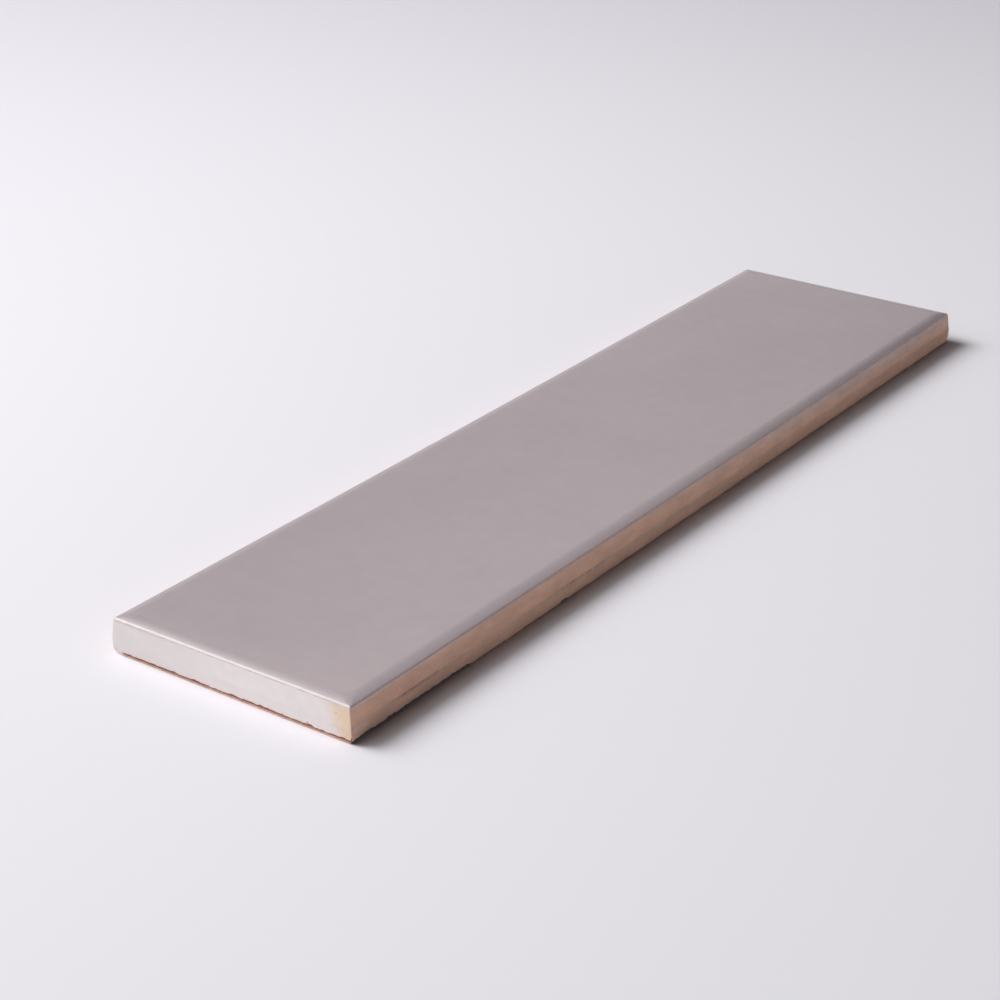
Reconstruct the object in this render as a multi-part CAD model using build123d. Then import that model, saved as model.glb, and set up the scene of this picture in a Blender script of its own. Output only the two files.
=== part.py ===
from build123d import *
from math import asin, cos, degrees, radians, sin
import os

# Glazed wall tile, pressed from clay powder in a steel die and fired as one piece.
#
# The tile lies on its keyed back with the glazed face up. The origin is the middle of
# the rectangle that it covers, on the plane it rests on. +Y runs along the long sides,
# +X across the tile and +Z up out of the face. All sizes are in millimetres and degrees.

# Overall size, measured over the widest line of the walls
tile_length = 300.0
tile_width = 75.0
tile_thickness = 10.0

# Foot: the back's edge is bevelled, so that the tile stands a little inside its walls
foot_setback = 0.5
foot_corner_radius = 1.5
bevel_height = 0.3

# Walls: the lower punch shapes the band under the die line, and the die box the wall
# above it, which leans in towards the face so that the pressed tile leaves the die
die_line_height = 4.0
die_line_step = 0.12
lower_band_lean = 0.10
wall_lean = 0.24
corner_radius = 0.3

# Face: flat in the middle, then falling along a wide arc, the cushion, to the tight arc
# of the rim, which ends level with the top of the wall
cushion_width = 4.2
cushion_slope = 25.0
cushion_corner_radius = 3.5
rim_radius = 0.8
outlines_per_arc = 5

# Back: a border and a grid of raised ribs, which key the tile into its adhesive
border_width = 7.0
rib_width = 3.0
pocket_depth = 0.8
pocket_length_wanted = 21.0
pocket_corner_radius = 2.0
pocket_wall_angle = 30.0


def outline(height, inset, radius):
    """The tile's plan at one height: a rounded rectangle, inset from the widest line."""
    plan = RectangleRounded(tile_width - 2 * inset, tile_length - 2 * inset, radius)
    return Plane.XY.offset(height) * plan


def band(lower, upper):
    """The stretch of wall between two outlines."""
    return loft([lower, upper], ruled=True)


def slopes_between(start, end):
    """The slopes along an arc at its outlines, evenly spaced, with both ends included."""
    shares = [number / (outlines_per_arc - 1) for number in range(outlines_per_arc)]
    return [start + (end - start) * share for share in shares]


def rolled_edge(wall_inset):
    """Outlines of the rim, then of the cushion, from the wall up to the flat of the face.

    Both are arcs in section. The rim's arc touches the wall and lies inside the cushion's
    arc, which it meets without a kink at the slope where the two touch.
    """
    cushion_radius = cushion_width / sin(radians(cushion_slope))
    cushion_inset = wall_inset + cushion_width
    cushion_centre = tile_thickness - cushion_radius

    rim_inset = wall_inset + rim_radius
    between_centres = cushion_radius - rim_radius
    meeting_slope = degrees(asin((cushion_inset - rim_inset) / between_centres))
    rim_centre = cushion_centre + between_centres * cos(radians(meeting_slope))

    upright = 90
    rim = []
    for slope in slopes_between(upright, meeting_slope):
        inset = rim_inset - rim_radius * sin(radians(slope))
        height = rim_centre + rim_radius * cos(radians(slope))
        rim.append(outline(height, inset, corner_radius))

    cushion = []
    for slope in slopes_between(meeting_slope, 0):
        inset = cushion_inset - cushion_radius * sin(radians(slope))
        height = cushion_centre + cushion_radius * cos(radians(slope))
        opened = 1 - slope / meeting_slope
        radius = corner_radius + (cushion_corner_radius - corner_radius) * opened
        cushion.append(outline(height, inset, radius))
    return rim, cushion


def pressed_blank():
    """The tile's outer form, stacked from its foot to its face."""
    foot = outline(0, foot_setback, foot_corner_radius)
    bevel_top = outline(bevel_height, lower_band_lean, corner_radius)
    widest = outline(die_line_height, 0, corner_radius)
    wall_foot = outline(die_line_height, die_line_step, corner_radius)
    rim, cushion = rolled_edge(die_line_step + wall_lean)

    blank = band(foot, bevel_top) + band(bevel_top, widest) + band(wall_foot, rim[0])
    return blank + loft(rim) + loft(cushion)


def pitch_of(room):
    """How many pockets of about the wanted length fill the room, and their pitch."""
    count = round((room + rib_width) / (pocket_length_wanted + rib_width))
    return count, (room + rib_width) / count


def back_pockets():
    """The shallow pockets between the ribs, each wider at its mouth than at its floor."""
    count_across, pitch_across = pitch_of(tile_width - 2 * border_width)
    count_along, pitch_along = pitch_of(tile_length - 2 * border_width)

    mouth = RectangleRounded(
        pitch_across - rib_width, pitch_along - rib_width, pocket_corner_radius
    )
    pocket = extrude(mouth, amount=pocket_depth, taper=pocket_wall_angle)
    return GridLocations(pitch_across, pitch_along, count_across, count_along) * pocket


tile = pressed_blank() - back_pockets()
tile.label = "tile"

os.makedirs("parts", exist_ok=True)
export_step(tile, "parts/tile.step")

size = tile.bounding_box().size
print(f"tile: {size.X:.2f} x {size.Y:.2f} x {size.Z:.2f} mm, {tile.volume / 1000:.1f} cm3")
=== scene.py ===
# %% [markdown]
# # A glazed wall tile on a studio floor
#
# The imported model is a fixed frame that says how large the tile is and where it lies. This
# script dresses it: it models the fired tile with the small faults that a kiln and a press
# leave, gives it its glaze and its clay, and sets it on a pale floor under soft light.
# Everything is in metres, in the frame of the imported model: +Y along the tile, +Z up.

# %% Load the frame
from math import asin, cos, radians, sin, tan

import bmesh
import bpy
from mathutils import Matrix, Vector, noise


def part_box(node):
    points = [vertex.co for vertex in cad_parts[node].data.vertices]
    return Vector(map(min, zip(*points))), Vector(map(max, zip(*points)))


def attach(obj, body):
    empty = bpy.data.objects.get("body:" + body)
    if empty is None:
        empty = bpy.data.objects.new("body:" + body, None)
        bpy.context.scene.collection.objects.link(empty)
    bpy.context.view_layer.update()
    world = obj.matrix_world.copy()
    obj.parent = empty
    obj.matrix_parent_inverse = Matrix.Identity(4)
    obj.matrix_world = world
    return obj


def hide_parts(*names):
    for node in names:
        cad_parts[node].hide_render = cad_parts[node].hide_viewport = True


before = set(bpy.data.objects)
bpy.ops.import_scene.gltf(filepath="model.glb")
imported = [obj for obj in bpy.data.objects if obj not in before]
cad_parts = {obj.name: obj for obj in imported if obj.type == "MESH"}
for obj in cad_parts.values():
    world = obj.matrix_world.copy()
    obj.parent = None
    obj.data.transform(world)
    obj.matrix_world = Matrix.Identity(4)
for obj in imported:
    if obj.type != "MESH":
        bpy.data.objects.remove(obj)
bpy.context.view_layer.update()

mm = 0.001
cad_low, cad_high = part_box("tile")
tile_width = cad_high.x - cad_low.x
tile_length = cad_high.y - cad_low.y
print(f"frame: {tile_width / mm:.1f} x {tile_length / mm:.1f} x {cad_high.z / mm:.1f} mm")

# %% [markdown]
# ## The profile, from the foot to the face
#
# A pressed tile has one section all the way round. Its foot is bevelled and sits a little
# inside the walls. The lower punch shapes the band under the die line, and the die box
# shapes the wall above it. The glaze rolls over the rim and stops in a lip, and the face
# falls away towards its edge along an arc.
#
# Such a form can be swept, lathed or lofted. Here it is lofted: every level of the profile
# is an outline with its own inset, height and corner radius, because the corners open up
# from the wall to the face, which a sweep can't do.

# %% Sizes of the profile
body_thickness = 9.95 * mm

foot_setback = 0.15 * mm
foot_corner = 1.5 * mm
foot_rounding = 0.04 * mm
bevel_height = 0.14 * mm

die_line_height = 4.0 * mm
die_line_step = 0.025 * mm
lower_lean = 0.10 * mm
wall_corner = 0.3 * mm

cushion_width = 4.2 * mm
cushion_slope = radians(25)
cushion_corner = 3.5 * mm
rim_inset = 0.36 * mm
rim_radius = 1.0 * mm
glaze_thickness = 0.06 * mm
lip_slope = radians(66)

# The rim's arc lies inside the cushion's arc and touches both that arc and the wall
cushion_radius = cushion_width / sin(cushion_slope)
cushion_inset = rim_inset + cushion_width
rim_centre_inset = rim_inset + rim_radius
meeting_slope = asin((cushion_inset - rim_centre_inset) / (cushion_radius - rim_radius))
cushion_centre_height = body_thickness - cushion_radius
rim_centre_height = cushion_centre_height + (cushion_radius - rim_radius) * cos(meeting_slope)
print(f"cushion radius {cushion_radius / mm:.1f} mm, rim radius {rim_radius / mm:.1f} mm")

# %% [markdown]
# The levels are listed from the bottom up. Straight stretches of wall get evenly spaced
# levels, close enough for the clay's relief to show in the mesh.

# %% Levels of the foot and the walls
levels = []
arris_steps = 8
lower_wall_steps = 6
die_line_steps = 2
upper_wall_steps = 11


def add_level(part, inset, height, corner):
    """Adds one outline to the profile."""
    levels.append({"part": part, "inset": inset, "height": height, "corner": corner})


def add_stretch(part, start, end, steps):
    """Adds evenly spaced outlines of wall from start to end, each an inset and a height."""
    for step in range(steps + 1):
        share = step / steps
        inset = start[0] + share * (end[0] - start[0])
        height = start[1] + share * (end[1] - start[1])
        add_level(part, inset, height, wall_corner)


add_level("foot", foot_setback + foot_rounding, 0, foot_corner)
add_level("foot", foot_setback, foot_rounding / 2, foot_corner)
add_level("edge", lower_lean, bevel_height, wall_corner)
add_stretch("arris", (0.09 * mm, 0.26 * mm), (0.07 * mm, 1.22 * mm), arris_steps)
add_stretch("lower wall", (0.06 * mm, 1.40 * mm), (0, 3.8 * mm), lower_wall_steps)
add_stretch(
    "die line",
    (0.01 * mm, die_line_height - 0.08 * mm),
    (die_line_step, die_line_height + 0.08 * mm),
    die_line_steps,
)

body_radius = rim_radius - glaze_thickness
wall_top = rim_centre_height + 0.04 * mm
add_stretch(
    "upper wall",
    (die_line_step + 0.01 * mm, 4.3 * mm),
    (rim_centre_inset - body_radius, wall_top),
    upper_wall_steps,
)
print(f"{len(levels)} levels from the foot to the wall's top, {wall_top / mm:.2f} mm up")

# %% [markdown]
# Above the wall each arc gets its levels by angle, given as the slope of the surface. The
# clay's shoulder and the glaze share the rim's centre, and the glaze's radius is larger by
# its own thickness, so the glaze stops in a lip that stands proud of the clay. The
# cushion's corners open up as the slope runs out.

# %% Levels of the rim and the face
shoulder_slopes = (81, 76, 71)
rim_slopes = (58, 51, 45, 40, 35, 30, 26)
cushion_steps = 11


def add_rim_level(part, slope, radius):
    """Adds an outline on the rim's arc, where the surface has this slope."""
    inset = rim_centre_inset - radius * sin(slope)
    add_level(part, inset, rim_centre_height + radius * cos(slope), wall_corner)


for slope in shoulder_slopes:
    add_rim_level("shoulder", radians(slope), body_radius)
add_rim_level("lip", lip_slope + radians(3), body_radius)
add_rim_level("lip", lip_slope + radians(2), body_radius + 0.7 * glaze_thickness)
add_rim_level("rim", lip_slope - radians(1), rim_radius)
for slope in rim_slopes:
    add_rim_level("rim", radians(slope), rim_radius)
for step in range(cushion_steps + 1):
    slope = meeting_slope * (1 - step / cushion_steps)
    inset = cushion_inset - cushion_radius * sin(slope)
    opened = (inset - rim_inset) / cushion_width
    corner = wall_corner + opened * (cushion_corner - wall_corner)
    add_level("cushion", inset, cushion_centre_height + cushion_radius * cos(slope), corner)

face_height = levels[-1]["height"]
print(f"{len(levels)} levels in all, face {face_height / mm:.3f} mm up")

# %% [markdown]
# ## Outlines, and the wall between them
#
# An outline is a plane, sized in edit mode, whose four corners are bevelled and whose face
# is then deleted. Its sides are cut into short edges, in the same number on every level, so
# that the outlines bridge into clean quads. One cut makes at most a hundred pieces, so each
# side is cut twice. Every point is marked with its level's number, because later steps
# treat the levels in their own ways.

# %% Draw the outlines
corner_segments = 8
side_cuts = {0: (5, 24), 1: (10, 48)}


def select_long_edges(mesh_object, axis):
    """Selects a level's one pair of uncut sides that run along an axis."""
    bpy.ops.mesh.select_all(action="DESELECT")
    plan = bmesh.from_edit_mesh(mesh_object.data)
    for edge in plan.edges:
        run = edge.verts[0].co - edge.verts[1].co
        edge.select_set(abs(run[axis]) > tile_width / 2)
    bmesh.update_edit_mesh(mesh_object.data)


def draw_outline(number, level):
    """One level of the profile: a closed loop of short edges with rounded corners."""
    bpy.ops.mesh.primitive_plane_add(size=1, location=(0, 0, level["height"]))
    outline = bpy.context.object
    bpy.ops.object.transform_apply(location=True)
    bpy.ops.object.mode_set(mode="EDIT")
    size = (tile_width - 2 * level["inset"], tile_length - 2 * level["inset"], 1)
    bpy.ops.transform.resize(value=size)
    bpy.ops.mesh.bevel(offset=level["corner"], segments=corner_segments, affect="VERTICES")
    bpy.ops.mesh.delete(type="ONLY_FACE")
    bpy.ops.mesh.select_mode(type="EDGE")
    for axis, cuts in side_cuts.items():
        select_long_edges(outline, axis)
        for pieces in cuts:
            bpy.ops.mesh.subdivide(number_cuts=pieces - 1)
    bpy.ops.object.mode_set(mode="OBJECT")
    mark = outline.data.attributes.new("level", "INT", "POINT")
    mark.data.foreach_set("value", [number] * len(outline.data.vertices))
    return outline


def join(objects, name):
    """Joins objects into the first one."""
    bpy.ops.object.select_all(action="DESELECT")
    for each in objects:
        each.select_set(True)
    bpy.context.view_layer.objects.active = objects[0]
    bpy.ops.object.join()
    objects[0].name = name
    return objects[0]


bpy.ops.object.select_all(action="DESELECT")
outlines = [draw_outline(number, level) for number, level in enumerate(levels)]
columns = len(outlines[0].data.vertices)
print(f"{len(outlines)} outlines of {columns} points")

# %% Bridge the outlines
fired_tile = join(outlines, "fired_tile")
bpy.ops.object.mode_set(mode="EDIT")
bpy.ops.mesh.select_all(action="SELECT")
bpy.ops.mesh.bridge_edge_loops(type="SINGLE")
bpy.ops.object.mode_set(mode="OBJECT")
print(f"{fired_tile.name}: {len(fired_tile.data.polygons)} faces from the foot to the face")

# %% [markdown]
# ## The face
#
# The flat of the face is a grid, a few millimetres inside the cushion. One large face would
# look the same on a flat tile, but this one is going to be bowed, and needs points to bend.

# %% Draw the face
face_margin = 2.5 * mm
face_cell = 3.0 * mm


def draw_grid(name, width, length, height, cells_across, cells_along):
    """A flat grid of cells in the middle of the tile, left in edit mode."""
    bpy.ops.object.select_all(action="DESELECT")
    bpy.ops.mesh.primitive_grid_add(
        x_subdivisions=cells_across, y_subdivisions=cells_along, size=1, location=(0, 0, height)
    )
    grid = bpy.context.object
    grid.name = name
    bpy.ops.object.transform_apply(location=True)
    mark = grid.data.attributes.new("level", "INT", "POINT")
    mark.data.foreach_set("value", [-1] * len(grid.data.vertices))
    bpy.ops.object.mode_set(mode="EDIT")
    bpy.ops.transform.resize(value=(width, length, 1))
    return grid


face_width = tile_width - 2 * (cushion_inset + face_margin)
face_length = tile_length - 2 * (cushion_inset + face_margin)
face_grid = draw_grid(
    "face", face_width, face_length, face_height,
    round(face_width / face_cell), round(face_length / face_cell),
)
bpy.ops.object.mode_set(mode="OBJECT")
print(f"face {face_width / mm:.0f} x {face_length / mm:.0f} mm inside its cushion")

# %% [markdown]
# ## The keyed back
#
# The back has a border and a grid of shallow pockets that adhesive keys into. A boolean
# could sink them one by one. A grid with one cell for each pocket is cleaner: every cell is
# inset on its own by half a rib, then inset again while it sinks, which gives the pockets'
# sloping walls, and the corner edges are bevelled.

# %% Draw the back
border_width = 7.0 * mm
rib_width = 3.0 * mm
pocket_depth = 0.8 * mm
pocket_length_wanted = 21.0 * mm
pocket_corner = 2.0 * mm
pocket_wall_angle = radians(30)


def pockets_in(room):
    """How many pockets of about the wanted length fill the room, and their pitch."""
    count = round((room + rib_width) / (pocket_length_wanted + rib_width))
    return count, (room + rib_width) / count


count_across, pitch_across = pockets_in(tile_width - 2 * border_width)
count_along, pitch_along = pockets_in(tile_length - 2 * border_width)
back_width = count_across * pitch_across
back_length = count_along * pitch_along
back_grid = draw_grid("back", back_width, back_length, 0, count_across, count_along)
bpy.ops.mesh.flip_normals()
bpy.ops.mesh.inset(thickness=rib_width / 2, use_individual=True)
bpy.ops.mesh.inset(
    thickness=pocket_depth * tan(pocket_wall_angle), depth=-pocket_depth, use_individual=True
)
bpy.ops.mesh.select_mode(type="EDGE")
bpy.ops.mesh.select_all(action="DESELECT")
back_mesh = bmesh.from_edit_mesh(back_grid.data)
for edge in back_mesh.edges:
    edge.select_set(abs(edge.verts[0].co.z - edge.verts[1].co.z) > pocket_depth / 2)
bmesh.update_edit_mesh(back_grid.data)
bpy.ops.mesh.bevel(offset=pocket_corner, segments=4, affect="EDGES", clamp_overlap=True)
bpy.ops.object.mode_set(mode="OBJECT")
print(f"{count_across} x {count_along} pockets, {len(back_grid.data.polygons)} faces")

# %% [markdown]
# ## Closing the tile
#
# The face and the back each leave a flat strip open between their grid and the outermost
# outline. The two loops of a strip have different numbers of points, so they can't be
# bridged evenly, but they are level, and filling them with triangles leaves no crease.

# %% Close the tile
fired_tile = join([fired_tile, face_grid, back_grid], "fired_tile")


def fill_between_open_edges(low, high):
    """Fills the flat strip between the two open loops that lie between two heights."""
    bpy.ops.object.mode_set(mode="EDIT")
    bpy.ops.mesh.select_mode(type="EDGE")
    bpy.ops.mesh.select_all(action="DESELECT")
    mesh = bmesh.from_edit_mesh(fired_tile.data)
    for edge in mesh.edges:
        level_with = low <= edge.verts[0].co.z <= high
        edge.select_set(edge.is_boundary and level_with)
    bmesh.update_edit_mesh(fired_tile.data)
    bpy.ops.mesh.fill()
    bpy.ops.object.mode_set(mode="OBJECT")


fill_between_open_edges(-0.01 * mm, 0.01 * mm)
fill_between_open_edges(face_height - 0.01 * mm, face_height + 0.01 * mm)
bpy.ops.object.mode_set(mode="EDIT")
bpy.ops.mesh.select_all(action="SELECT")
bpy.ops.mesh.normals_make_consistent(inside=False)
bpy.ops.mesh.select_mode(type="EDGE")
bpy.ops.mesh.select_all(action="DESELECT")
bpy.ops.mesh.select_non_manifold()
bpy.ops.object.mode_set(mode="OBJECT")
open_edges = sum(edge.select for edge in fired_tile.data.edges)
print(f"fired_tile: {len(fired_tile.data.polygons)} faces, {open_edges} open edges")

# %% [markdown]
# ## The broken arris
#
# Pressed clay is brittle before it is fired, so the sharp arris round the back crumbles. At
# the ends it has broken away about a millimetre high, with notches on the right half and a
# worn corner on the left. The long sides are broken nearly as high for a few centimetres
# from the near end, then only a quarter of a millimetre, with a few chips on the right. The
# break is nearly upright at the ends and leans in along the sides.
#
# A boolean with a rough cutter could take it off, but the wall has a level every tenth of a
# millimetre here, so it is enough to draw each point in by how far it lies below the
# broken line.

# %% Break the arris
chips = [
    {"along": -65.8 * mm, "width": 2.3 * mm, "height": 0.75 * mm},
    {"along": -97.5 * mm, "width": 1.6 * mm, "height": 0.40 * mm},
    {"along": 22.0 * mm, "width": 2.0 * mm, "height": 0.30 * mm},
]
end_height = 0.96 * mm
side_height = 0.26 * mm
corner_height = 0.55 * mm
broken_reach = 46 * mm
end_slope = 0.20
side_slope = 1.1
arris_top = 1.6 * mm


def ease(value, start, end):
    """Runs smoothly from 0 to 1 while the value goes from start to end."""
    share = min(1, max(0, (value - start) / (end - start)))
    return share * share * (3 - 2 * share)


def crumbled(place, grain):
    """A rough number from -1 to 1 that changes over about the grain's length."""
    return noise.noise(Vector((place / grain, 7.3, 1.9)))


def broken_height(axis, side, along):
    """How high the arris has broken away at a place along one side of the tile."""
    rough = (0.22 * crumbled(along, 2.6 * mm) + 0.24 * crumbled(along, 1.0 * mm)) * mm
    if axis == 1:
        from_left = along + tile_width / 2
        worn_corner = 0.5 * mm * (1 - ease(from_left, 0.6 * mm, 3.4 * mm))
        notch = 1.2 * mm * max(0, crumbled(along, 1.9 * mm) - 0.1)
        return end_height + rough + worn_corner + notch * ease(along, -8 * mm, 6 * mm)
    near_end = 1 - ease(along + tile_length / 2, broken_reach - 3 * mm, broken_reach)
    height = side_height + 0.6 * rough + near_end * (corner_height + 0.6 * rough)
    for chip in chips:
        off = abs(along - chip["along"]) / chip["width"]
        height = max(height, side * chip["height"] * (1 - ease(off, 0.3, 1)))
    return height


for vertex in fired_tile.data.vertices:
    if vertex.co.z > arris_top:
        continue
    place = vertex.co.copy()
    for axis, half in ((0, tile_width / 2), (1, tile_length / 2)):
        side = 1 if place[axis] > 0 else -1
        below = broken_height(axis, side, place[1 - axis]) - place.z
        if abs(place[axis]) > half - 1.5 * mm and below > 0:
            vertex.co[axis] -= side * (side_slope, end_slope)[axis] * below
print(f"the arris is broken {broken_height(1, -1, 0) / mm:.2f} mm high in the middle of an end")

# %% [markdown]
# The far right corner is rubbed round, most at its top and its foot. A bevel would round it
# by the same amount all the way up. So each level's points that stand out past the rubbed
# corner are drawn back onto an arc of that level's own.

# %% Rub the far corner round
rubbed_top = 1.7 * mm
rubbed_foot = 1.2 * mm
drawn_back = 0
for vertex in fired_tile.data.vertices:
    top = ease(vertex.co.z, 5.5 * mm, 9.2 * mm)
    base = 1 - ease(vertex.co.z, 0.2 * mm, 2.4 * mm)
    rubbed = wall_corner + max(rubbed_top * top, rubbed_foot * base)
    middle_x = tile_width / 2 - rubbed
    middle_y = tile_length / 2 - rubbed
    out = Vector((vertex.co.x - middle_x, vertex.co.y - middle_y))
    if out.x > 0 and out.y > 0 and out.length > rubbed:
        out *= rubbed / out.length
        vertex.co.x = middle_x + out.x
        vertex.co.y = middle_y + out.y
        drawn_back += 1
print(f"{drawn_back} points drawn back at the far right corner")

# %% [markdown]
# ## Relief of the walls
#
# The walls keep the marks of the die: a crease where the punch met the die box, which is
# deep in two stretches and nearly gone elsewhere, and a low, uneven skin of pressed
# powder. Sculpting could draw both, but not twice alike. Both are Displace modifiers. The
# crease is a plain push inwards, held by a vertex group to the die line's levels. The skin
# follows a cloud texture, less at the ends, where slip has filled it, and not on the glaze.

# %% Weights and pushes
crease_stretches = [(-138 * mm, -113 * mm), (-70 * mm, -45 * mm)]


def crease_at(along):
    """How deep the crease is at a place along the right side, from 0 to 1."""
    depth = 0.12
    for start, end in crease_stretches:
        inside = ease(along, start, start + 5 * mm) * (1 - ease(along, end - 5 * mm, end))
        depth = max(depth, inside)
    return depth * (0.75 + 0.5 * crumbled(along, 3.5 * mm))


def weigh(name, weight_of):
    """A vertex group whose weights are worked out from each point and its level."""
    group = fired_tile.vertex_groups.new(name=name)
    marks = fired_tile.data.attributes["level"].data
    for vertex in fired_tile.data.vertices:
        number = marks[vertex.index].value
        weight = weight_of(vertex.co, levels[number]) if number >= 0 else 0
        if weight > 0:
            group.add([vertex.index], min(1, weight), "REPLACE")


def push(name, depth, group, texture=None, middle=0.0):
    """A Displace modifier along the normals, applied at once."""
    modifier = fired_tile.modifiers.new(name, "DISPLACE")
    modifier.strength = depth
    modifier.mid_level = middle
    modifier.vertex_group = group
    modifier.texture = texture
    modifier.texture_coords = "LOCAL"
    bpy.context.view_layer.objects.active = fired_tile
    bpy.ops.object.modifier_apply(modifier=name)


print(f"{len(crease_stretches)} deep stretches of crease")


# %% Press the relief into the walls
relief_depth = 0.07 * mm
crease_depth = 0.11 * mm


def clay_skin(co, level):
    """The clay's share of the relief: less at the ends, and fading out below the lip."""
    share = 0.3 if abs(co.y) > tile_length / 2 - 0.8 * mm else 1
    if level["part"] in ("lower wall", "arris", "die line"):
        return share
    if level["part"] == "upper wall":
        return share * (1 - ease(co.z, wall_top - 0.8 * mm, wall_top))
    return 0


weigh("crease", lambda co, level: crease_at(co.y) * (level["part"] == "die line"))
weigh("skin", clay_skin)
clouds = bpy.data.textures.new("pressed_powder", "CLOUDS")
clouds.noise_scale = 2.2 * mm
clouds.noise_depth = 3
push("die_crease", -crease_depth, "crease")
push("powder_skin", relief_depth, "skin", clouds, 0.5)
fired_tile.vertex_groups.clear()
print(f"relief {relief_depth / mm:.2f} mm, crease {crease_depth / mm:.2f} mm")

# %% [markdown]
# ## The bow
#
# Long tiles warp in the kiln, because glaze and clay shrink by different amounts. This one
# is slightly dished: both ends stand a hair higher than the middle. Bending it with an
# armature or a lattice would need more care than it is worth, because the curve is so flat
# that lifting each point by the square of its distance from the middle is the same bend.
# The foot follows only a third of the lift, so hardly any gap shows under the ends.

# %% Bow the tile
bow = 0.34 * mm
foot_share = 0.3


def bow_at(y):
    """How far the tile has lifted at a place along it."""
    return bow * (2 * y / tile_length) ** 2


for vertex in fired_tile.data.vertices:
    followed = foot_share + (1 - foot_share) * ease(vertex.co.z, 0, 1.2 * mm)
    vertex.co.z += followed * bow_at(vertex.co.y)
print(f"the ends stand {bow / mm:.2f} mm higher than the middle")

# %% [markdown]
# ## Shading
#
# The rim and the cushion should look round, and the lip, the foot and the broken arris
# should keep their edges. Smooth shading up to an angle does both, because the steps of the
# rim turn by much less than those edges do.

# %% Shade the tile
sharp_from = 28
bpy.ops.object.select_all(action="DESELECT")
fired_tile.select_set(True)
bpy.context.view_layer.objects.active = fired_tile
bpy.ops.object.shade_smooth_by_angle(angle=radians(sharp_from))
print(f"edges that turn by more than {sharp_from} degrees stay sharp")

# %% [markdown]
# ## Finding the way about the tile
#
# Both materials change from place to place: clay over the height of the wall, glaze
# towards the rim. They share one node group that turns a point into plain measures in
# millimetres, with the bow taken off, so that a height means the same at the ends and in
# the middle. Only the foot, which follows the bow in part, reads a quarter of a millimetre
# low at the ends. Image masks would need painting and an unwrapping; measures need neither.
#
# A few helpers come first, so that a material reads as sums and fades. A fade runs over a
# stretch of a measure, and the other way when its end is the smaller number.

# %% Helpers for sums and fades
def wire(tree, value, socket):
    """Links a socket into another, or sets it to a plain value."""
    if isinstance(value, bpy.types.NodeSocket):
        tree.links.new(value, socket)
    else:
        socket.default_value = value


def work_out(tree, operation, *values):
    """A Math node."""
    node = tree.nodes.new("ShaderNodeMath")
    node.operation = operation
    for value, socket in zip(values, node.inputs):
        wire(tree, value, socket)
    return node.outputs["Value"]


def times(tree, *factors):
    """The product of two or more values."""
    product = factors[0]
    for factor in factors[1:]:
        product = work_out(tree, "MULTIPLY", product, factor)
    return product


def swung(tree, share, swing, middle):
    """A share times a swing, plus the middle it swings about."""
    return work_out(tree, "MULTIPLY_ADD", share, swing, middle)


def sum_of_squares(tree, first, second):
    """How far off a mark's centre a point lies, squared."""
    squares = [work_out(tree, "POWER", offset, 2.0) for offset in (first, second)]
    return work_out(tree, "ADD", *squares)


def fade(tree, value, start, end, low=0.0, high=1.0):
    """Runs smoothly from low to high while the value goes from start to end."""
    node = tree.nodes.new("ShaderNodeMapRange")
    node.interpolation_type = "SMOOTHSTEP"
    names = ("Value", "From Min", "From Max", "To Min", "To Max")
    for name, setting in zip(names, (value, start, end, low, high)):
        wire(tree, setting, node.inputs[name])
    return node.outputs["Result"]


# %% The tile's own measures, as a node group
half_width = tile_width / 2 / mm
half_length = tile_length / 2 / mm


def make_measures():
    """Place, across, along and height in millimetres, and how far in from each side."""
    tree = bpy.data.node_groups.new("tile_measures", "ShaderNodeTree")
    tree.interface.new_socket("Place", in_out="OUTPUT", socket_type="NodeSocketVector")
    for name in ("Across", "Along", "Height", "From Side", "From End", "Inward", "On End"):
        tree.interface.new_socket(name, in_out="OUTPUT", socket_type="NodeSocketFloat")
    result = tree.nodes.new("NodeGroupOutput")
    coordinates = tree.nodes.new("ShaderNodeTexCoord")
    scaled = tree.nodes.new("ShaderNodeVectorMath")
    scaled.operation = "SCALE"
    scaled.inputs["Scale"].default_value = 1 / mm
    tree.links.new(coordinates.outputs["Object"], scaled.inputs[0])
    place = scaled.outputs["Vector"]
    split = tree.nodes.new("ShaderNodeSeparateXYZ")
    tree.links.new(place, split.inputs["Vector"])
    across, along, raised = split.outputs

    share = work_out(tree, "DIVIDE", along, half_length)
    lift = times(tree, work_out(tree, "POWER", share, 2.0), bow / mm)
    height = work_out(tree, "SUBTRACT", raised, lift)
    from_side = work_out(tree, "SUBTRACT", half_width, work_out(tree, "ABSOLUTE", across))
    from_end = work_out(tree, "SUBTRACT", half_length, work_out(tree, "ABSOLUTE", along))
    inward = work_out(tree, "MINIMUM", from_side, from_end)
    on_end = work_out(tree, "GREATER_THAN", from_side, from_end)
    outputs = (place, across, along, height, from_side, from_end, inward, on_end)
    for socket, value in zip(result.inputs, outputs):
        tree.links.new(value, socket)
    return tree


measures = make_measures()
print("tile_measures:", ", ".join(item.name for item in measures.interface.items_tree))

# %% [markdown]
# ## Grains and colours
#
# No fired surface is one even colour. Clay has powder, blotches and streaks, and glaze
# mottles where the spray fell thicker. All of it is cloudy noise at different sizes, so it
# is a second node group, with the size and the detail of its blotches as inputs. A Voronoi
# texture would give harder cells, which suit terrazzo and not pressed clay.

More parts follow.
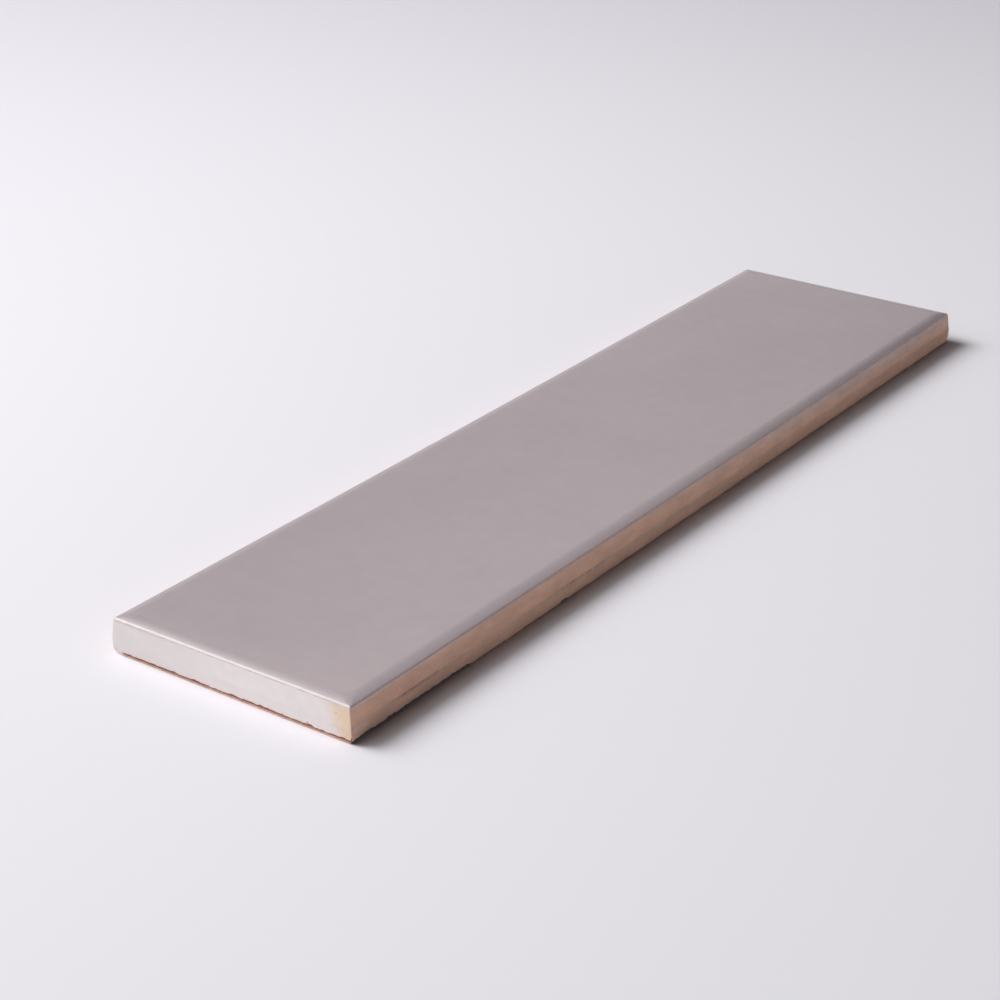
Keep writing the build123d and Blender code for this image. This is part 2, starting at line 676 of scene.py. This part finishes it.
# %% Grains, as a node group
def make_grains():
    """Cloudy noise whose blotches have a size of their own along each axis."""
    tree = bpy.data.node_groups.new("grains", "ShaderNodeTree")
    sockets = {"Place": "Vector", "Size": "Vector", "Detail": "Float"}
    for name, kind in sockets.items():
        tree.interface.new_socket(name, in_out="INPUT", socket_type=f"NodeSocket{kind}")
    tree.interface.new_socket("Cloud", in_out="OUTPUT", socket_type="NodeSocketFloat")
    given = tree.nodes.new("NodeGroupInput")
    result = tree.nodes.new("NodeGroupOutput")
    squeeze = tree.nodes.new("ShaderNodeVectorMath")
    squeeze.operation = "DIVIDE"
    tree.links.new(given.outputs["Place"], squeeze.inputs[0])
    tree.links.new(given.outputs["Size"], squeeze.inputs[1])
    cloud = tree.nodes.new("ShaderNodeTexNoise")
    cloud.inputs["Scale"].default_value = 1.0
    tree.links.new(given.outputs["Detail"], cloud.inputs["Detail"])
    tree.links.new(squeeze.outputs["Vector"], cloud.inputs["Vector"])
    tree.links.new(cloud.outputs["Fac"], result.inputs["Cloud"])
    return tree


grain_group = make_grains()
print("grains:", ", ".join(item.name for item in grain_group.interface.items_tree))


# %% Helpers for colours and relief
def grains(tree, place, size, detail=2.0, stretch=(1, 1, 1)):
    """Places the grains group, for blotches of about the given size in millimetres."""
    node = tree.nodes.new("ShaderNodeGroup")
    node.node_tree = grain_group
    wire(tree, place, node.inputs["Place"])
    node.inputs["Size"].default_value = [size * share for share in stretch]
    node.inputs["Detail"].default_value = detail
    return node.outputs["Cloud"]


def blend(tree, share, first, second, way="MIX"):
    """Mixes two colours, each given as a socket or as red, green and blue."""
    node = tree.nodes.new("ShaderNodeMix")
    node.data_type = "RGBA"
    node.blend_type = way
    wire(tree, share, node.inputs[0])
    for colour, socket in ((first, node.inputs[6]), (second, node.inputs[7])):
        wire(tree, colour if isinstance(colour, bpy.types.NodeSocket) else (*colour, 1), socket)
    return node.outputs[2]


def toned(tree, colour, tone):
    """A colour made lighter or darker by a tone about 1."""
    grey = tree.nodes.new("ShaderNodeCombineColor")
    for socket in grey.inputs[:3]:
        tree.links.new(tone, socket)
    return blend(tree, 1.0, colour, grey.outputs["Color"], "MULTIPLY")


def bump(tree, height, depth, below=None):
    """A Bump node for relief of a depth in millimetres."""
    node = tree.nodes.new("ShaderNodeBump")
    node.inputs["Distance"].default_value = depth * mm
    node.inputs["Strength"].default_value = 1.0
    wire(tree, height, node.inputs["Height"])
    if below:
        tree.links.new(below, node.inputs["Normal"])
    return node.outputs["Normal"]


def start_material(name):
    """A new material, its shader and the tile's measures."""
    material = bpy.data.materials.new(name)
    material.use_nodes = True
    tree = material.node_tree
    group = tree.nodes.new("ShaderNodeGroup")
    group.node_tree = measures
    return material, tree, tree.nodes["Principled BSDF"], group.outputs


# %% [markdown]
# ## The glaze
#
# A satin glaze, grey with a breath of mauve. Its colour is painted lighter and darker by a
# few parts in a hundred from corner to corner and a little paler along the near end, a
# painted falloff of the light, and it mottles faintly where the spray fell thicker. Along
# the right side towards the far end it is painted darker, a painted shade for the dark
# reflection that the cushion catches there. A painted map could hold all this, but it
# would be tied to one unwrapping. A handful of sums on the tile's measures is not.

# %% Glaze colours and tone
glaze_colour = (0.416, 0.355, 0.371)
glaze_pale = (0.62, 0.53, 0.535)
rim_side_and_bounce = (0.73, 0.55, 0.555)
lip_white_and_highlight = (0.70, 0.63, 0.62)
falloff_diagonal = -0.07
falloff_across = 0.02
falloff_along = -0.018
falloff_near_end = 0.035
edge_shade_depth = -0.26


def painted_light_falloff(tree, at):
    """How much lighter or darker the painted falloff of the light makes the glaze, about 1."""
    x = work_out(tree, "DIVIDE", at["Across"], half_width)
    y = work_out(tree, "DIVIDE", at["Along"], half_length)
    tone = swung(tree, times(tree, x, y), falloff_diagonal, 1.0)
    tone = swung(tree, x, falloff_across, tone)
    tone = swung(tree, y, falloff_along, tone)
    near_end = fade(tree, at["Along"], -137, -147.5)
    return swung(tree, near_end, falloff_near_end, tone)


def glaze_tone(tree, at):
    """Painted falloff of the light, sprayed mottle and painted shade on the right edge, about
    1.
    """
    mottle = fade(tree, grains(tree, at["Place"], 5.0), 0.25, 0.75, 0.985, 1.015)
    cloud = fade(tree, grains(tree, at["Place"], 24.0, 1.0), 0.3, 0.7, 0.985, 1.015)
    # painted shade along the right cushion towards the far end, for the dark reflection there
    painted_edge_shade = times(
        tree,
        fade(tree, at["From Side"], 4.4, 1.1),
        fade(tree, at["Across"], 0, 20),
        fade(tree, at["Along"], -60, 130),
    )
    kept = swung(tree, painted_edge_shade, edge_shade_depth, 1.0)
    return times(tree, painted_light_falloff(tree, at), mottle, cloud, kept)


print(f"glaze {glaze_colour}, shaded by up to {abs(falloff_diagonal):.0%} at a corner")

# %% [markdown]
# Glaze creeps away from an edge as it melts. It is thin where it rolls over the rim, so the
# pale slip under it shows through; on the right side that rim colour is also painted warmer
# and lighter, a painted bounce of light from the clay wall and the floor. The glaze stops in
# a white lip, partly a painted highlight, which is seen at the ends and on the first
# stretch of the right side. It is rougher towards the rim, and at the ends it has drawn up
# into small beads. The lip has its own step in the mesh, and the beads, which are too fine
# for that, are a bump.
#
# The sheen is the Principled shader's own gloss. A coat layer would only add noise at this
# roughness.

# %% Glaze
smoothest = 0.21
roughest = 0.23
rim_roughening = 0.18
bead_depth = 0.07
ripple_depth = 0.007
pore_depth = 0.0015


def rim_and_lip(tree, at, colour):
    """Thin rim glaze, painted warm bounce on the right, and the white lip, partly painted
    highlight.
    """
    # on the right side the rim colour is partly painted warm bounce light from wall and floor
    rim_colour_and_bounce = blend(tree, at["On End"], rim_side_and_bounce, glaze_pale)
    thin = times(
        tree,
        fade(tree, at["Inward"], 1.2, 0.5),
        fade(tree, grains(tree, at["Place"], 2.2), 0.3, 0.7, 0.75, 1.0),
    )
    colour = blend(tree, thin, colour, rim_colour_and_bounce)

    # the white lip is partly the glaze's real edge and partly a painted highlight
    end_lip = times(tree, fade(tree, at["From End"], 0.7, 0.45), at["On End"])
    side_lip = times(
        tree, fade(tree, at["From Side"], 0.75, 0.45), fade(tree, at["Along"], -90, -140)
    )
    uneven = fade(tree, grains(tree, at["Place"], 1.6, 1.0), 0.35, 0.6, 0.1, 1.0)
    lip = times(tree, work_out(tree, "MAXIMUM", end_lip, side_lip), uneven)
    return blend(tree, lip, colour, lip_white_and_highlight)


def make_glaze():
    """The satin glaze of the face and the rim."""
    material, tree, shader, at = start_material("satin_glaze")
    colour = toned(tree, glaze_colour, glaze_tone(tree, at))
    wire(tree, rim_and_lip(tree, at, colour), shader.inputs["Base Color"])
    shader.inputs["IOR"].default_value = 1.6

    patchy = fade(tree, grains(tree, at["Place"], 9.0), 0.3, 0.7, smoothest, roughest)
    near_rim = fade(tree, at["Inward"], 4.6, 0.9, 0.0, rim_roughening)
    wire(tree, work_out(tree, "ADD", patchy, near_rim), shader.inputs["Roughness"])

    # the beads' noise is centred on zero, so that its mask leaves no step at its edge
    beads = work_out(tree, "SUBTRACT", grains(tree, at["Place"], 1.3, 1.0), 0.5)
    beads = times(tree, beads, at["On End"], fade(tree, at["Inward"], 1.3, 0.6))
    normal = bump(tree, beads, bead_depth)
    normal = bump(tree, grains(tree, at["Place"], 3.4, 1.0), ripple_depth, normal)
    normal = bump(tree, grains(tree, at["Place"], 0.7, 1.0), pore_depth, normal)
    wire(tree, normal, shader.inputs["Normal"])
    return material


glaze = make_glaze()
print(glaze.name, len(glaze.node_tree.nodes), "nodes")

# %% [markdown]
# ## The clay of the long walls
#
# The body fired to a warm biscuit, and the right side shows it bare: orange and smooth
# above the die line, greyer and rougher below, with a crease between the two that is
# darkened with painted shade. Past the broken stretch the foot of the wall is painted
# lighter with the upper band's colour, painted light against the shade near the floor.
# Towards the far end glaze mist has settled on the upper wall, and a pale smudge lies low
# by the near corner. The bands could be materials on separate faces, but then their edges
# would be as sharp as a cut. A fade on the height, made to waver by streaks of noise, blurs
# them as pressing does.

# %% Clay of the long walls
clay_upper = (0.83, 0.525, 0.385)
clay_lower = (0.72, 0.465, 0.355)
# painted shade in the crease at the die line
crease_shade_colour = (0.40, 0.205, 0.15)
mist_mauve = (0.68, 0.56, 0.545)
slip_white = (0.875, 0.812, 0.80)
smudge = {"along": -146.5, "height": 3.0, "half_length": 3.2, "half_height": 1.0}
shallow_crease_shade = 0.16
crease_shade_strength = 0.6


def long_wall(tree, at):
    """Two clay bands, the foot painted lighter against its shade, the mist and slip at the top.
    """
    height, along = at["Height"], at["Along"]
    streaks = grains(tree, at["Place"], 2.4, 3.0, (1, 4, 0.6))
    band = work_out(tree, "ADD", height, swung(tree, streaks, 1.2, -0.6))
    colour = blend(tree, fade(tree, band, 3.6, 4.7), clay_lower, clay_upper)

    # the foot of the wall is painted lighter here: painted light against the shade near the
    # floor
    foot_painted_light = times(tree, fade(tree, height, 3.0, 0.8), fade(tree, along, -115, -85))
    colour = blend(tree, foot_painted_light, colour, clay_upper)

    mist = times(tree, fade(tree, band, 4.9, 7.2), fade(tree, along, -60, 90, 0.06, 0.62))
    colour = blend(tree, mist, colour, mist_mauve)

    below_lip = times(
        tree, fade(tree, height, 8.2, 8.9), fade(tree, along, -60, -150, 0.25, 0.8)
    )
    return blend(tree, below_lip, colour, slip_white)


def smudged(tree, at, colour):
    """Adds the pale smudge, which is longer than it is high."""
    off_along = work_out(tree, "SUBTRACT", at["Along"], smudge["along"])
    off_up = work_out(tree, "SUBTRACT", at["Height"], smudge["height"])
    off = sum_of_squares(
        tree,
        work_out(tree, "DIVIDE", off_along, smudge["half_length"]),
        work_out(tree, "DIVIDE", off_up, smudge["half_height"]),
    )
    patchy = fade(tree, grains(tree, at["Place"], 1.8), 0.3, 0.7, 0.1, 0.36)
    return blend(tree, times(tree, fade(tree, off, 1.3, 0.0), patchy), colour, slip_white)


def shade_crease(tree, at, colour):
    """Paints shade into the crease at the die line, darkest where the crease is deep."""
    above_line = work_out(tree, "SUBTRACT", at["Height"], die_line_height / mm)
    line = fade(tree, work_out(tree, "ABSOLUTE", above_line), 0.6, 0.1)
    depth = shallow_crease_shade
    for start, end in crease_stretches:
        start, end = start / mm, end / mm
        begun = fade(tree, at["Along"], start, start + 6)
        not_over = fade(tree, at["Along"], end, end - 6)
        depth = work_out(tree, "MAXIMUM", depth, times(tree, begun, not_over))
    broken = fade(tree, grains(tree, at["Place"], 2.6), 0.38, 0.58, 0.35, 1.0)
    return blend(tree, times(tree, line, depth, broken, crease_shade_strength), colour, crease_shade_colour)


print(f"smudge of {2 * smudge['half_length']} x {2 * smudge['half_height']} mm")

# %% [markdown]
# ## The slip of the end walls
#
# The ends stood in the spray, so white slip covers them, up to a soft, leaning edge near
# the right corner where bare biscuit shows. Just under the lip on the left the slip is
# painted darker, a painted shadow of the lip, and its lower band is painted a touch lighter,
# painted light against the shade near the floor. It has small flaws: flecks near the foot,
# a tan chip and three pinholes. Each mark is a place across and up the wall and a radius,
# which is simpler to move than a dab on a painted map.

# %% Slip of the end walls
clay_biscuit = (0.86, 0.665, 0.50)
slip_low_painted_light = (0.88, 0.815, 0.805)
under_lip_shade_colour = (0.65, 0.60, 0.59)
slip_worn = (0.82, 0.745, 0.72)
chip_tan = (0.62, 0.42, 0.30)
fleck_dark = (0.30, 0.19, 0.14)
tan_chip = (24.4, 1.0, 0.55)
pinholes = [(33.0, 6.5, 0.2), (-19.0, 9.0, 0.25), (6.0, 9.0, 0.25)]


def spot(tree, at, across, height, radius):
    """A round mark on an end wall, with a soft edge."""
    off_across = work_out(tree, "SUBTRACT", at["Across"], across)
    off_up = work_out(tree, "SUBTRACT", at["Height"], height)
    off = work_out(tree, "SQRT", sum_of_squares(tree, off_across, off_up))
    return fade(tree, off, radius, 0.5 * radius)


def end_wall(tree, at):
    """White slip, painted shade under the lip, painted light low, bare biscuit past its edge.
    """
    place, height, across = at["Place"], at["Height"], at["Across"]
    worn = fade(tree, grains(tree, place, 6.0, 3.0), 0.3, 0.7, 0.0, 0.35)
    slip = blend(tree, worn, slip_white, slip_worn)
    # the lower band is painted a touch lighter: painted light against its shade near the floor
    slip = blend(tree, fade(tree, height, 4.3, 3.7), slip, slip_low_painted_light)
    # painted shadow of the lip: the slip is darker just under it on the left
    under_lip_shade = times(
        tree, fade(tree, height, 8.1, 8.7), fade(tree, across, -12, -22, 0.0, 0.5)
    )
    slip = blend(tree, under_lip_shade, slip, under_lip_shade_colour)

    leaning_edge = swung(tree, height, -0.36, 34.6)
    wander = swung(tree, grains(tree, place, 1.6), 1.6, -0.8)
    edge = work_out(tree, "ADD", leaning_edge, wander)
    bare = fade(tree, work_out(tree, "SUBTRACT", across, edge), -3.2, 2.6)
    return blend(tree, bare, slip, clay_biscuit)


def flawed(tree, at, colour):
    """Adds the flecks, the chip and the pinholes."""
    low = fade(tree, at["Height"], 1.7, 0.7)
    flecks = fade(tree, grains(tree, at["Place"], 0.5, 1.0), 0.6, 0.68)
    colour = blend(tree, times(tree, low, flecks, 0.35), colour, fleck_dark)
    colour = blend(tree, spot(tree, at, *tan_chip), colour, chip_tan)
    dark = spot(tree, at, *pinholes[0])
    for pinhole in pinholes[1:]:
        dark = work_out(tree, "MAXIMUM", dark, spot(tree, at, *pinhole))
    return blend(tree, times(tree, dark, 0.7), colour, fleck_dark)


print(f"a chip and {len(pinholes)} pinholes on the end walls")

# %% [markdown]
# ## Raw clay with painted shade, and the body as one material
#
# Where the arris has broken away, the raw red of the body shows at the ends. Its colour is
# painted dark at the top of the break, a painted shadow of the gap under the end, and paler
# at its foot, painted bounce light from the floor. Along the sides the break is painted
# nearly black, a painted contact shadow. The mask could be a vertex group, but a broken
# place is simply one that lies in from the wall near the foot. The back is raw body too.
#
# The left wall is painted darker than the right one, a painted shade that tempers the light
# on it and its glow on the floor, and the end walls are painted a little darker towards the
# left. Slip fills the clay's grain, so the ends are smoother than the sides.

# %% Clay
raw_and_gap_shade = (0.26, 0.075, 0.043)
raw_and_bounce_low = (0.86, 0.53, 0.41)
raw_side_contact_shadow = (0.10, 0.055, 0.04)
clay_back = (0.58, 0.33, 0.235)
left_wall_shade = -0.32
end_wall_shade = -0.085
blotch_swing = 0.45
powder_swing = 0.3
coarse_depth = 0.12
fine_depth = 0.04


def break_and_contact_shade(tree, at, colour):
    """Raw clay and painted shade near the foot, where it lies in from the wall, past the left
    corner.
    """
    clear_break = swung(tree, at["On End"], -0.07, 0.2)
    raw = times(
        tree,
        fade(tree, at["Inward"], 0.09, clear_break),
        fade(tree, at["Height"], 1.8, 1.4),
        fade(tree, at["Across"], -35.0, -33.4),
    )
    # painted shadow at the top of the end's break, painted bounce light at its foot
    end_break_shade_and_bounce = blend(tree, fade(tree, at["Height"], 0.48, 0.0), raw_and_gap_shade, raw_and_bounce_low)
    # the sides' break is a painted contact shadow, nearly black
    break_shade_and_clay = blend(tree, at["On End"], raw_side_contact_shadow, end_break_shade_and_bounce)
    flecks = fade(tree, grains(tree, at["Place"], 0.8), 0.45, 0.6, 0.0, 0.35)
    break_shade_and_clay = blend(tree, flecks, break_shade_and_clay, fleck_dark)
    return blend(tree, raw, colour, break_shade_and_clay)


def clay_tone(tree, at, open_grain):
    """The body's speckle, with painted shade on the left wall and the ends' left, about 1."""
    blotches = grains(tree, at["Place"], 3.0, 4.0, (1, 2.5, 0.8))
    powder = times(tree, grains(tree, at["Place"], 0.35), powder_swing)
    speckled = swung(tree, blotches, blotch_swing, powder)
    middle = (blotch_swing + powder_swing) / 2
    swing = times(tree, work_out(tree, "SUBTRACT", speckled, middle), open_grain)

    # painted shade: the left wall darker, and the end walls darker towards their left
    on_left = work_out(tree, "LESS_THAN", at["Across"], 0.0)
    on_long_wall = work_out(tree, "SUBTRACT", 1.0, at["On End"])
    painted_wall_shade = swung(tree, times(tree, on_left, on_long_wall), left_wall_shade, 1.0)
    leftwards = times(tree, at["On End"], fade(tree, at["Across"], 12, -32))
    painted_wall_shade = swung(tree, leftwards, end_wall_shade, painted_wall_shade)
    return times(tree, painted_wall_shade, work_out(tree, "ADD", swing, 1.0))


def make_clay():
    """The bare body: long walls, end walls, broken arris and back."""
    material, tree, shader, at = start_material("fired_clay")
    long_walls = shade_crease(tree, at, smudged(tree, at, long_wall(tree, at)))
    end_walls = flawed(tree, at, end_wall(tree, at))
    walls = blend(tree, at["On End"], long_walls, end_walls)
    colour = break_and_contact_shade(tree, at, walls)
    colour = blend(tree, fade(tree, at["Inward"], 1.2, 2.0), colour, clay_back)
    open_grain = swung(tree, at["On End"], -0.8, 1.0)
    colour = toned(tree, colour, clay_tone(tree, at, open_grain))
    wire(tree, colour, shader.inputs["Base Color"])
    shader.inputs["Roughness"].default_value = 0.85
    shader.inputs["Specular IOR Level"].default_value = 0.25

    coarse = times(tree, grains(tree, at["Place"], 1.1, 4.0), open_grain)
    fine = times(tree, grains(tree, at["Place"], 0.28), open_grain)
    normal = bump(tree, fine, fine_depth, bump(tree, coarse, coarse_depth))
    wire(tree, normal, shader.inputs["Normal"])
    return material


clay = make_clay()
print(clay.name, len(clay.node_tree.nodes), "nodes")

# %% [markdown]
# ## Dressing the tile
#
# The glaze ends at the lip, so each face takes its finish from the level that it belongs
# to, with no unwrapping and no selecting by hand. Then the piece rides on the tile's one
# body, and the CAD's tile is hidden so that the piece stands in for it.

# %% Dress the tile
fired_tile.data.materials.append(glaze)
fired_tile.data.materials.append(clay)
lip_number = max(number for number, level in enumerate(levels) if level["part"] == "lip")
level_of = fired_tile.data.attributes["level"].data
glazed = 0
for polygon in fired_tile.data.polygons:
    numbers = [level_of[index].value for index in polygon.vertices]
    on_face = min(numbers) < 0 and polygon.center.z > body_thickness / 2
    polygon.material_index = 0 if on_face or min(numbers) >= lip_number - 1 else 1
    glazed += polygon.material_index == 0
print(f"{glazed} of {len(fired_tile.data.polygons)} faces are glazed")

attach(fired_tile, "root")
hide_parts("tile")

# %% [markdown]
# ## The floor
#
# The tile lies on pale paper with a lavender cast. It is painted a little darker away from
# the tile, a painted falloff of the light.
# A curved backdrop could be modelled behind it. Instead the camera sees a plain pale glow
# far off, which leaves the light on the tile alone.

# %% Floor
paper_colour = (0.80, 0.78, 0.825)
paper_falloff_shade = (0.68, 0.66, 0.712)
backdrop_colour = (0.73, 0.715, 0.75)


def mix_shaders(tree, share, first, second):
    """A Mix Shader node."""
    node = tree.nodes.new("ShaderNodeMixShader")
    for value, socket in zip((share, first, second), node.inputs):
        tree.links.new(value, socket)
    return node.outputs["Shader"]


def make_paper():
    """Pale paper with a painted falloff, and the backdrop's glow for the camera far off."""
    material = bpy.data.materials.new("paper")
    material.use_nodes = True
    tree = material.node_tree
    shader = tree.nodes["Principled BSDF"]
    shader.inputs["Roughness"].default_value = 0.9
    shader.inputs["Specular IOR Level"].default_value = 0.0
    coordinates = tree.nodes.new("ShaderNodeTexCoord")
    distance = tree.nodes.new("ShaderNodeVectorMath")
    distance.operation = "LENGTH"
    tree.links.new(coordinates.outputs["Object"], distance.inputs[0])
    away = distance.outputs["Value"]
    # painted falloff: the paper is darker away from the tile
    colour = blend(tree, fade(tree, away, 0.15, 0.85), paper_colour, paper_falloff_shade)
    wire(tree, colour, shader.inputs["Base Color"])

    glow = tree.nodes.new("ShaderNodeEmission")
    glow.inputs["Color"].default_value = (*backdrop_colour, 1)
    camera_ray = tree.nodes.new("ShaderNodeLightPath").outputs["Is Camera Ray"]
    far_off = times(tree, fade(tree, away, 0.9, 2.4), camera_ray)
    joined = mix_shaders(tree, far_off, shader.outputs["BSDF"], glow.outputs["Emission"])
    tree.links.new(joined, tree.nodes["Material Output"].inputs["Surface"])
    return material


bpy.ops.mesh.primitive_plane_add(size=8, location=(0, 0, 0))
floor = bpy.context.object
floor.name = "floor"
floor.data.materials.append(make_paper())
print(f"{floor.name}: {floor.dimensions.x:.0f} x {floor.dimensions.y:.0f} m")

# %% [markdown]
# ## The light
#
# One lamp at middle height on the left gives the clear edge of the shadow, and a wide one
# beside it the soft part. A glaze shows what it mirrors, so the studio matters as much as
# the lamps: it is dark, with a glow low down on the right, which the cushion catches, and a
# dimmer one at the back left, which the face catches. Glowing panels would do the same, but
# a glow in the world has no edge to mirror.

# %% Lamps
def soft_box(name, towards, distance, size, power):
    """A round lamp in one direction from the tile, turned to face it."""
    lamp = bpy.data.lights.new(name, "AREA")
    lamp.shape = "DISK"
    lamp.size = size
    lamp.energy = power
    holder = bpy.data.objects.new(name, lamp)
    bpy.context.scene.collection.objects.link(holder)
    holder.location = Vector(towards).normalized() * distance
    holder.rotation_euler = holder.location.to_track_quat("Z", "Y").to_euler()
    print(f"{name}: {power:.0f} W, {size} m wide, {distance} m from the tile")


soft_box("key", (-0.669, -0.216, 0.711), 4.0, 2.2, 137.0)
soft_box("wide_light", (-0.602, -0.381, 0.701), 1.1, 1.3, 8.0)

# %% Studio
studio_colour = (0.99, 0.965, 0.97)
studio_dark = 0.006
low_glow_strength = 1.0
back_glow_strength = 0.36
to_the_right = Vector((0.85, -0.53, 0))
to_the_back_left = Vector((-0.55, 0.83, 0))


def facing(tree, direction, towards):
    """How squarely a world direction points some way, as a cosine."""
    node = tree.nodes.new("ShaderNodeVectorMath")
    node.operation = "DOT_PRODUCT"
    tree.links.new(direction, node.inputs[0])
    node.inputs[1].default_value = towards.normalized()
    return node.outputs["Value"]


def make_studio():
    """A dark studio with its two glows, and the pale backdrop for the camera."""
    world = bpy.data.worlds.new("studio")
    world.use_nodes = True
    tree = world.node_tree
    direction = tree.nodes.new("ShaderNodeTexCoord").outputs["Generated"]
    split = tree.nodes.new("ShaderNodeSeparateXYZ")
    tree.links.new(direction, split.inputs["Vector"])
    upward = split.outputs["Z"]
    low_glow = times(
        tree,
        fade(tree, upward, 0.08, 0.28, low_glow_strength, 0.0),
        fade(tree, facing(tree, direction, to_the_right), -0.1, 0.3),
    )
    back_glow = times(
        tree,
        fade(tree, upward, 0.46, 0.66, back_glow_strength, 0.0),
        fade(tree, facing(tree, direction, to_the_back_left), 0.3, 0.6),
    )
    glows = work_out(tree, "ADD", low_glow, back_glow)

    studio = tree.nodes["Background"]
    studio.inputs["Color"].default_value = (*studio_colour, 1)
    wire(tree, work_out(tree, "ADD", glows, studio_dark), studio.inputs["Strength"])
    backdrop = tree.nodes.new("ShaderNodeBackground")
    backdrop.inputs["Color"].default_value = (*backdrop_colour, 1)
    camera_ray = tree.nodes.new("ShaderNodeLightPath").outputs["Is Camera Ray"]
    seen = mix_shaders(
        tree, camera_ray, studio.outputs["Background"], backdrop.outputs["Background"]
    )
    tree.links.new(seen, tree.nodes["World Output"].inputs["Surface"])
    return world


bpy.context.scene.world = make_studio()
print(bpy.context.scene.world.name, len(bpy.context.scene.world.node_tree.nodes), "nodes")

# %% [markdown]
# ## The camera
#
# Where a camera stood can be worked out from the straight edges in its picture. The place,
# the three angles and the lens below are such a fit. The angles are turned into the
# camera's own axes, which reads more clearly than Euler angles do.

# %% Camera
lens = 83.5
sensor_width = 36
camera_place = Vector((330.9, -491.0, 274.8)) * mm
camera_yaw = radians(-36.366)
camera_pitch = radians(25.489)
camera_roll = radians(-0.706)


def look(place, yaw, pitch, roll):
    """A camera matrix from compass-like angles: yaw from +Y, pitch down, roll."""
    forward = Vector((sin(yaw) * cos(pitch), cos(yaw) * cos(pitch), -sin(pitch)))
    sideways = Vector((cos(yaw), -sin(yaw), 0))
    up = sideways.cross(forward)
    side = sideways * cos(roll) + up * sin(roll)
    top = up * cos(roll) - sideways * sin(roll)
    turn = Matrix((side, top, -forward)).transposed().to_4x4()
    return Matrix.Translation(place) @ turn


camera_data = bpy.data.cameras.new("camera")
camera_data.lens = lens
camera_data.sensor_width = sensor_width
camera_data.clip_start = 10 * mm
camera = bpy.data.objects.new("camera", camera_data)
camera.matrix_world = look(camera_place, camera_yaw, camera_pitch, camera_roll)
bpy.context.scene.collection.objects.link(camera)
bpy.context.scene.camera = camera
bpy.context.scene.view_settings.view_transform = "Standard"
print(f"camera {camera_place.length / mm:.0f} mm from the tile, {lens} mm lens")
